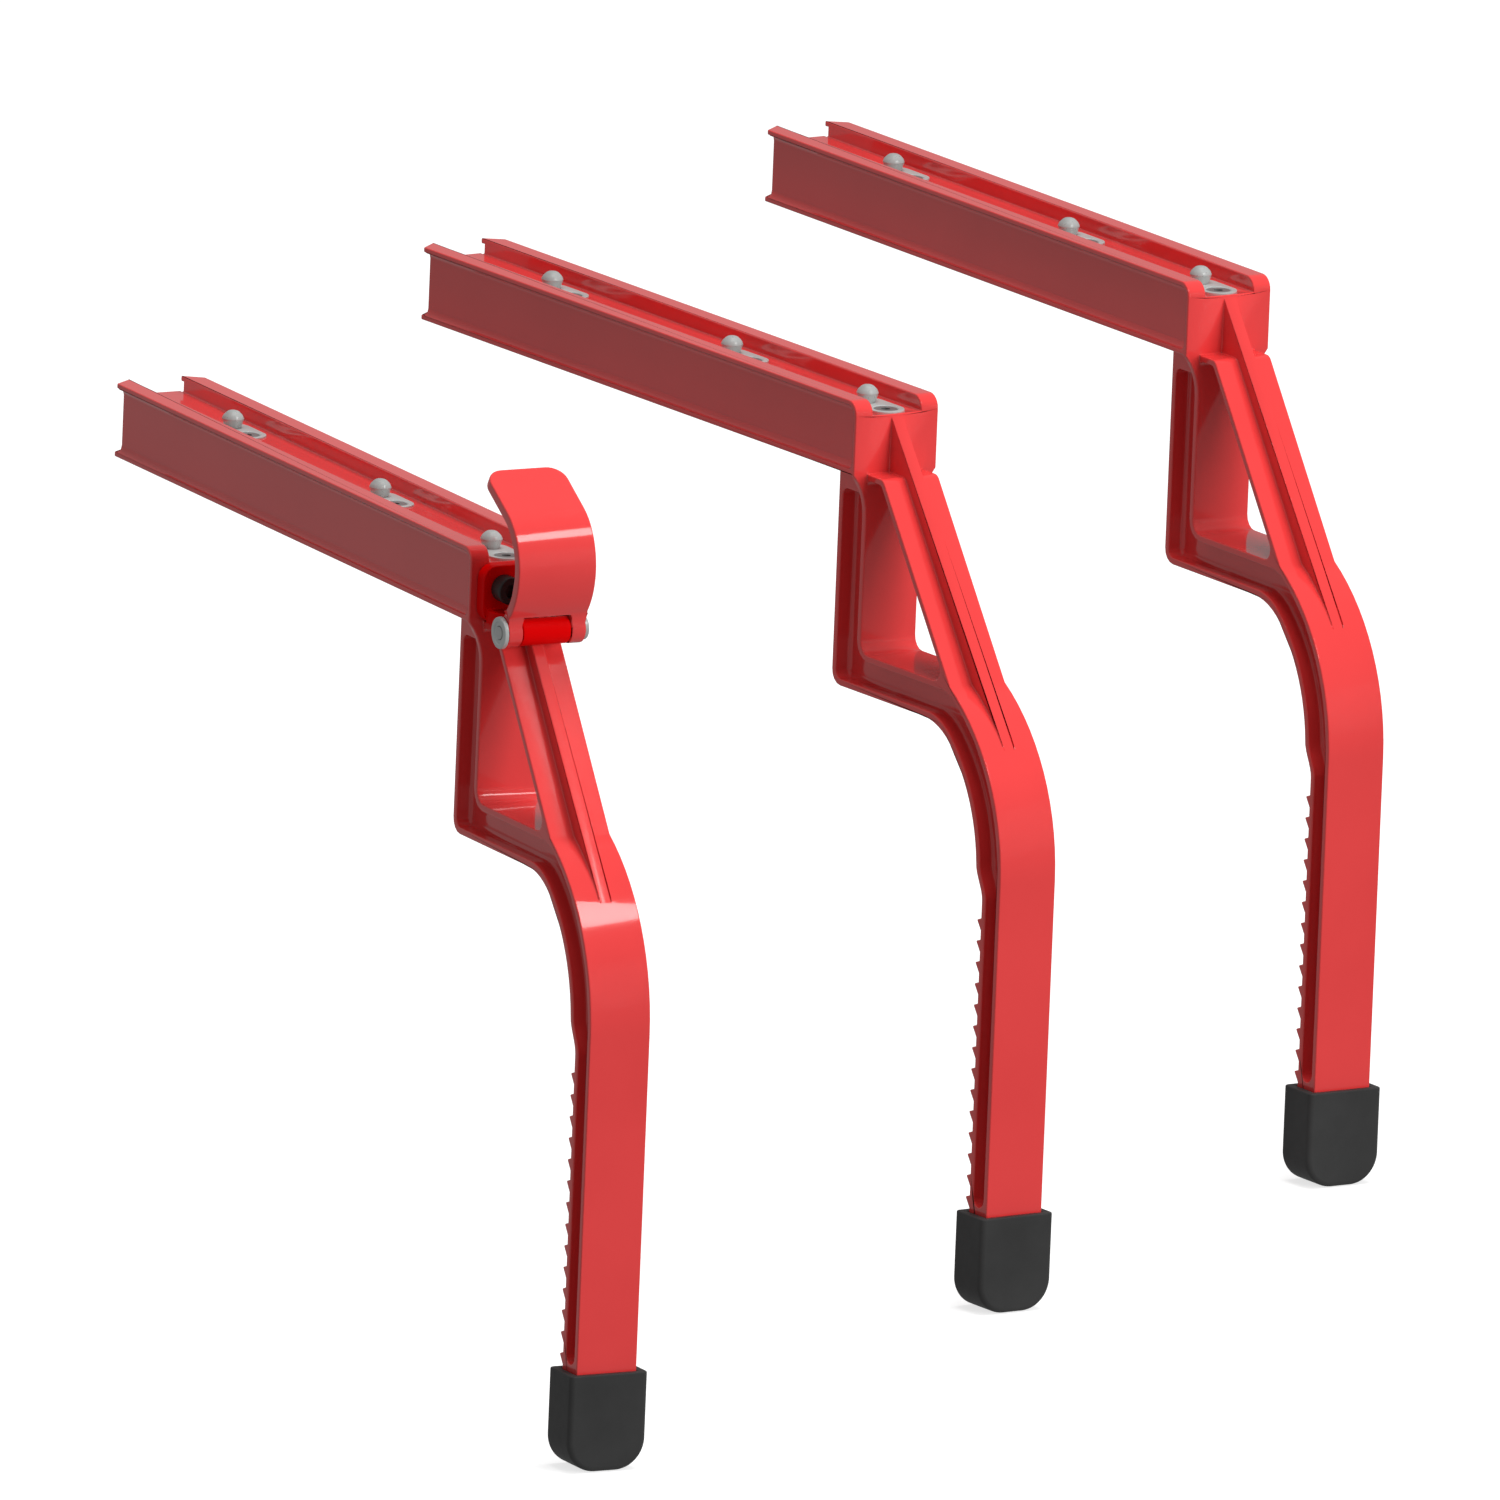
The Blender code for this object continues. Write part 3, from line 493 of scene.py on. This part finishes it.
def plate(tag, number):
    """Oblong steel plate with a countersunk dish around its screw."""
    node = f"pin_plate_{tag}{number}"
    low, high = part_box(f"pin_plate_b{number}")
    radius = (high.x - low.x) / MM / 2
    top, bottom = high.z / MM, low.z / MM
    pin = local_middle(f"locating_pin_{tag}{number}", tag)
    screw = local_middle(f"plate_screw_{tag}{number}", tag)
    outline = arc((pin.x, pin.y), radius, 0, math.pi, 32)
    outline += arc((screw.x, screw.y), radius, math.pi, 2 * math.pi, 32)
    body = prism(f"oblong_plate_{tag}{number}", outline, bottom, top, "Z")
    dish = [
        (PLATE_BORE, bottom - PAST),
        (PLATE_BORE, top - DISH_DEPTH),
        (DISH_SHOULDER[0], top + DISH_SHOULDER[1]),
        (DISH_RIM[0], top + DISH_RIM[1]),
        (DISH_RIM[0], top + PAST),
    ]
    bore = [(PLATE_BORE, bottom - PAST), (PLATE_BORE, top + PAST)]
    cut(body, lathe("dish", dish, (screw.x, screw.y, 0), "Z", TURNED_SMALL))
    cut(body, lathe("bore", bore, (pin.x, pin.y, 0), "Z", TURNED // 2))
    soft_edges(body, PLATE_EDGE, PLATE_EDGE_ANGLE, 2)
    finish_piece(body, node, MATERIALS["steel"], tag)


def pin(tag, number):
    """Turned pin: shank, waist, a crisp shoulder and a blunt cone on top."""
    node = f"locating_pin_{tag}{number}"
    low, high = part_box(node)
    centre = local_middle(node, tag)
    profile = from_top(PIN_CORNERS, low.z / MM, high.z / MM)
    body = lathe(f"turned_pin_{tag}{number}", profile, (centre.x, centre.y, 0), "Z")
    turned_shading(body)
    finish_piece(body, node, MATERIALS["pin_steel"], tag)


def screw(tag, number):
    """Countersunk socket screw."""
    node = f"plate_screw_{tag}{number}"
    low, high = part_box(node)
    centre = local_middle(node, tag)
    place = (centre.x, centre.y, 0)
    top = high.z / MM
    profile = from_top(SCREW_CORNERS, low.z / MM, top)
    body = lathe(f"socket_screw_{tag}{number}", profile, place, "Z", TURNED_SMALL)
    socket = [(SCREW_HEXAGON, top - SCREW_SOCKET), (SCREW_HEXAGON, top + PAST)]
    cut(body, lathe("hexagon", socket, place, "Z", 6))
    soft_edges(body, SCREW_EDGE, SHARP, 2)
    finish_piece(body, node, MATERIALS["screw"], tag)


def latch_bolt(side):
    """Black cap screw with a plain round head and a hexagon socket."""
    node = "latch_bolt_" + side
    place = (BOLT_PLACES[side], 0, local_middle(node, "a").z)
    profile = fillet_profile([
        (0, BOLT_FACE, 0),
        (BOLT_HEAD, BOLT_FACE, 0.9),
        (BOLT_HEAD, BOLT_FACE + BOLT_HEAD_LENGTH, 0.2),
        (BOLT_SHANK, BOLT_FACE + BOLT_HEAD_LENGTH, 0),
        (BOLT_SHANK, BOLT_FACE + BOLT_LENGTH, 0),
    ])
    body = lathe("cap_screw_" + side, profile, place, "Y")
    socket = [(BOLT_HEXAGON, BOLT_FACE - PAST), (BOLT_HEXAGON, BOLT_FACE + BOLT_SOCKET)]
    cut(body, lathe("hexagon", socket, place, "Y", 6))
    soft_edges(body, BOLT_EDGE, SHARP, 2)
    finish_piece(body, node, MATERIALS["bolt"], "a")


def hinge_hardware():
    """The hinge pin with its domed head, and the push-on retainer with its raised ring."""
    place = (0, HINGE_Y, local_middle("hinge_pin", "a").z)
    profile = fillet_profile([
        (0, 0.2 - HEAD_OUTER, 0),
        (SHANK, 0.2 - HEAD_OUTER, 0.4),
        (SHANK, HEAD_INNER, 0),
        (HEAD_RADIUS, HEAD_INNER, 0.1),
        (HEAD_RADIUS, HEAD_OUTER, 0.7),
        (0, HEAD_OUTER, 0),
    ])
    body = lathe("headed_pin", profile, place, "X")
    turned_shading(body)
    finish_piece(body, "hinge_pin", MATERIALS["pin_steel"], "a")
    ring = fillet_profile([
        (CAP_BORE, -HEAD_INNER, 0),
        (CAP_BORE, 0.6 - HEAD_OUTER, 0),
        (4.9, 0.6 - HEAD_OUTER, 0.1),
        (5.3, -HEAD_OUTER, 0.2),
        (7.2, -HEAD_OUTER, 0.5),
        (CAP_RADIUS, -HEAD_INNER, 0.3),
        (CAP_BORE, -HEAD_INNER, 0),
    ])
    cap = lathe("push_on_cap", ring[:-1], place, "X")
    turned_shading(cap, CAP_EDGE_ANGLE)
    finish_piece(cap, "pin_retainer", MATERIALS["steel"], "a")


def latch():
    """The flip latch on the nose of stand a."""
    block = soft_edges(cad_copy("latch_block", "bolted_block"), BLOCK_EDGE)
    finish_piece(block, "latch_block", MATERIALS["latch"])
    lever = soft_edges(cad_copy("latch_lever", "flip_lever"), LEVER_EDGE)
    finish_piece(lever, "latch_lever", MATERIALS["paint"])
    latch_bolt("left")
    latch_bolt("right")
    hinge_hardware()


# ---- studio -----------------------------------------------------------------------------

def camera():
    data = bpy.data.cameras.new("camera")
    data.lens = LENS
    data.sensor_width = SENSOR
    data.clip_end = CLIP_END
    obj = bpy.data.objects.new("camera", data)
    bpy.context.scene.collection.objects.link(obj)
    right = VIEW_RIGHT.normalized()
    back = right.cross(VIEW_UP).normalized()
    turn = Matrix((right, back.cross(right), back)).transposed().to_4x4()
    distance = VIEW_WIDTH * LENS / SENSOR
    obj.matrix_world = Matrix.Translation(VIEW_CENTRE + back * distance) @ turn
    bpy.context.scene.camera = obj


def floor():
    """A white floor that glows a little, so that only a trace of shadow shows on it."""
    bm = bmesh.new()
    bmesh.ops.create_circle(bm, cap_ends=True, radius=FLOOR_RADIUS, segments=96)
    obj = add_object("floor", bm)
    obj.location.z = -FLOOR_DROP
    made = Nodes("floor")
    nodes = made.tree.nodes
    glow = nodes.new("ShaderNodeEmission")
    glow.inputs["Strength"].default_value = FLOOR_GLOW
    matt = nodes.new("ShaderNodeBsdfDiffuse")
    matt.inputs["Color"].default_value = FLOOR_GREY
    both = nodes.new("ShaderNodeAddShader")
    made.link(glow.outputs[0], both.inputs[0])
    made.link(matt.outputs[0], both.inputs[1])
    made.link(both.outputs[0], nodes["Material Output"].inputs["Surface"])
    obj.data.materials.append(made.material)
    obj.visible_diffuse = False
    obj.visible_glossy = False


def area_light(name, place, turn, size, power):
    data = bpy.data.lights.new(name, "AREA")
    data.shape = "RECTANGLE"
    data.size, data.size_y = size
    data.energy = power
    obj = bpy.data.objects.new(name, data)
    bpy.context.scene.collection.objects.link(obj)
    obj.matrix_world = Matrix.Translation(place) @ turn.to_4x4()
    return obj


def broad_light(name, direction, size, power):
    """A large soft light that faces the middle of the view and isn't mirrored in the paint."""
    towards = Vector(direction).normalized()
    place = VIEW_CENTRE + towards * STUDIO_DISTANCE
    turn = towards.to_track_quat("Z", "Y").to_matrix()
    light = area_light(name, place, turn, size, power)
    light.visible_glossy = False


def softbox():
    """A bright box whose mirror image lies on the first stand's strut, up to its upper end."""
    strut_top = stand_frame("a") @ Vector(SOFTBOX_TARGET)
    towards = Vector(SOFTBOX_DIRECTION).normalized()
    width, height = SOFTBOX_SIZE
    across = towards.cross(Vector((0, 0, 1))).normalized()
    upwards = across.cross(towards).normalized()
    place = strut_top + towards * SOFTBOX_DISTANCE - upwards * height / 2 + across * width / 2
    turn = Matrix((-across, upwards, towards)).transposed()
    area_light("softbox", place, turn, SOFTBOX_SIZE, SOFTBOX_POWER)


def world(strength):
    """Even grey light from all round, which the camera sees as white."""
    made = bpy.data.worlds.new("studio")
    made.use_nodes = True
    bpy.context.scene.world = made
    nodes = made.node_tree.nodes
    links = made.node_tree.links
    background = nodes["Background"]
    path = nodes.new("ShaderNodeLightPath")
    level = nodes.new("ShaderNodeMapRange")
    level.inputs["To Min"].default_value = strength
    level.inputs["To Max"].default_value = 1.0
    links.new(path.outputs["Is Camera Ray"], level.inputs["Value"])
    links.new(level.outputs["Result"], background.inputs["Strength"])
    background.inputs["Color"].default_value = (1, 1, 1, 1)


def studio():
    camera()
    floor()
    world(WORLD_STRENGTH)
    softbox()
    broad_light("overhead", OVERHEAD_DIRECTION, OVERHEAD_SIZE, OVERHEAD_POWER)
    broad_light("fill", FILL_DIRECTION, FILL_SIZE, FILL_POWER)
    bpy.context.scene.view_settings.view_transform = "Standard"


for stand_tag in TAGS:
    arm(stand_tag)
    foot(stand_tag)
    for plate_number in PLATE_NUMBERS:
        plate(stand_tag, plate_number)
        pin(stand_tag, plate_number)
        screw(stand_tag, plate_number)
latch()
studio()
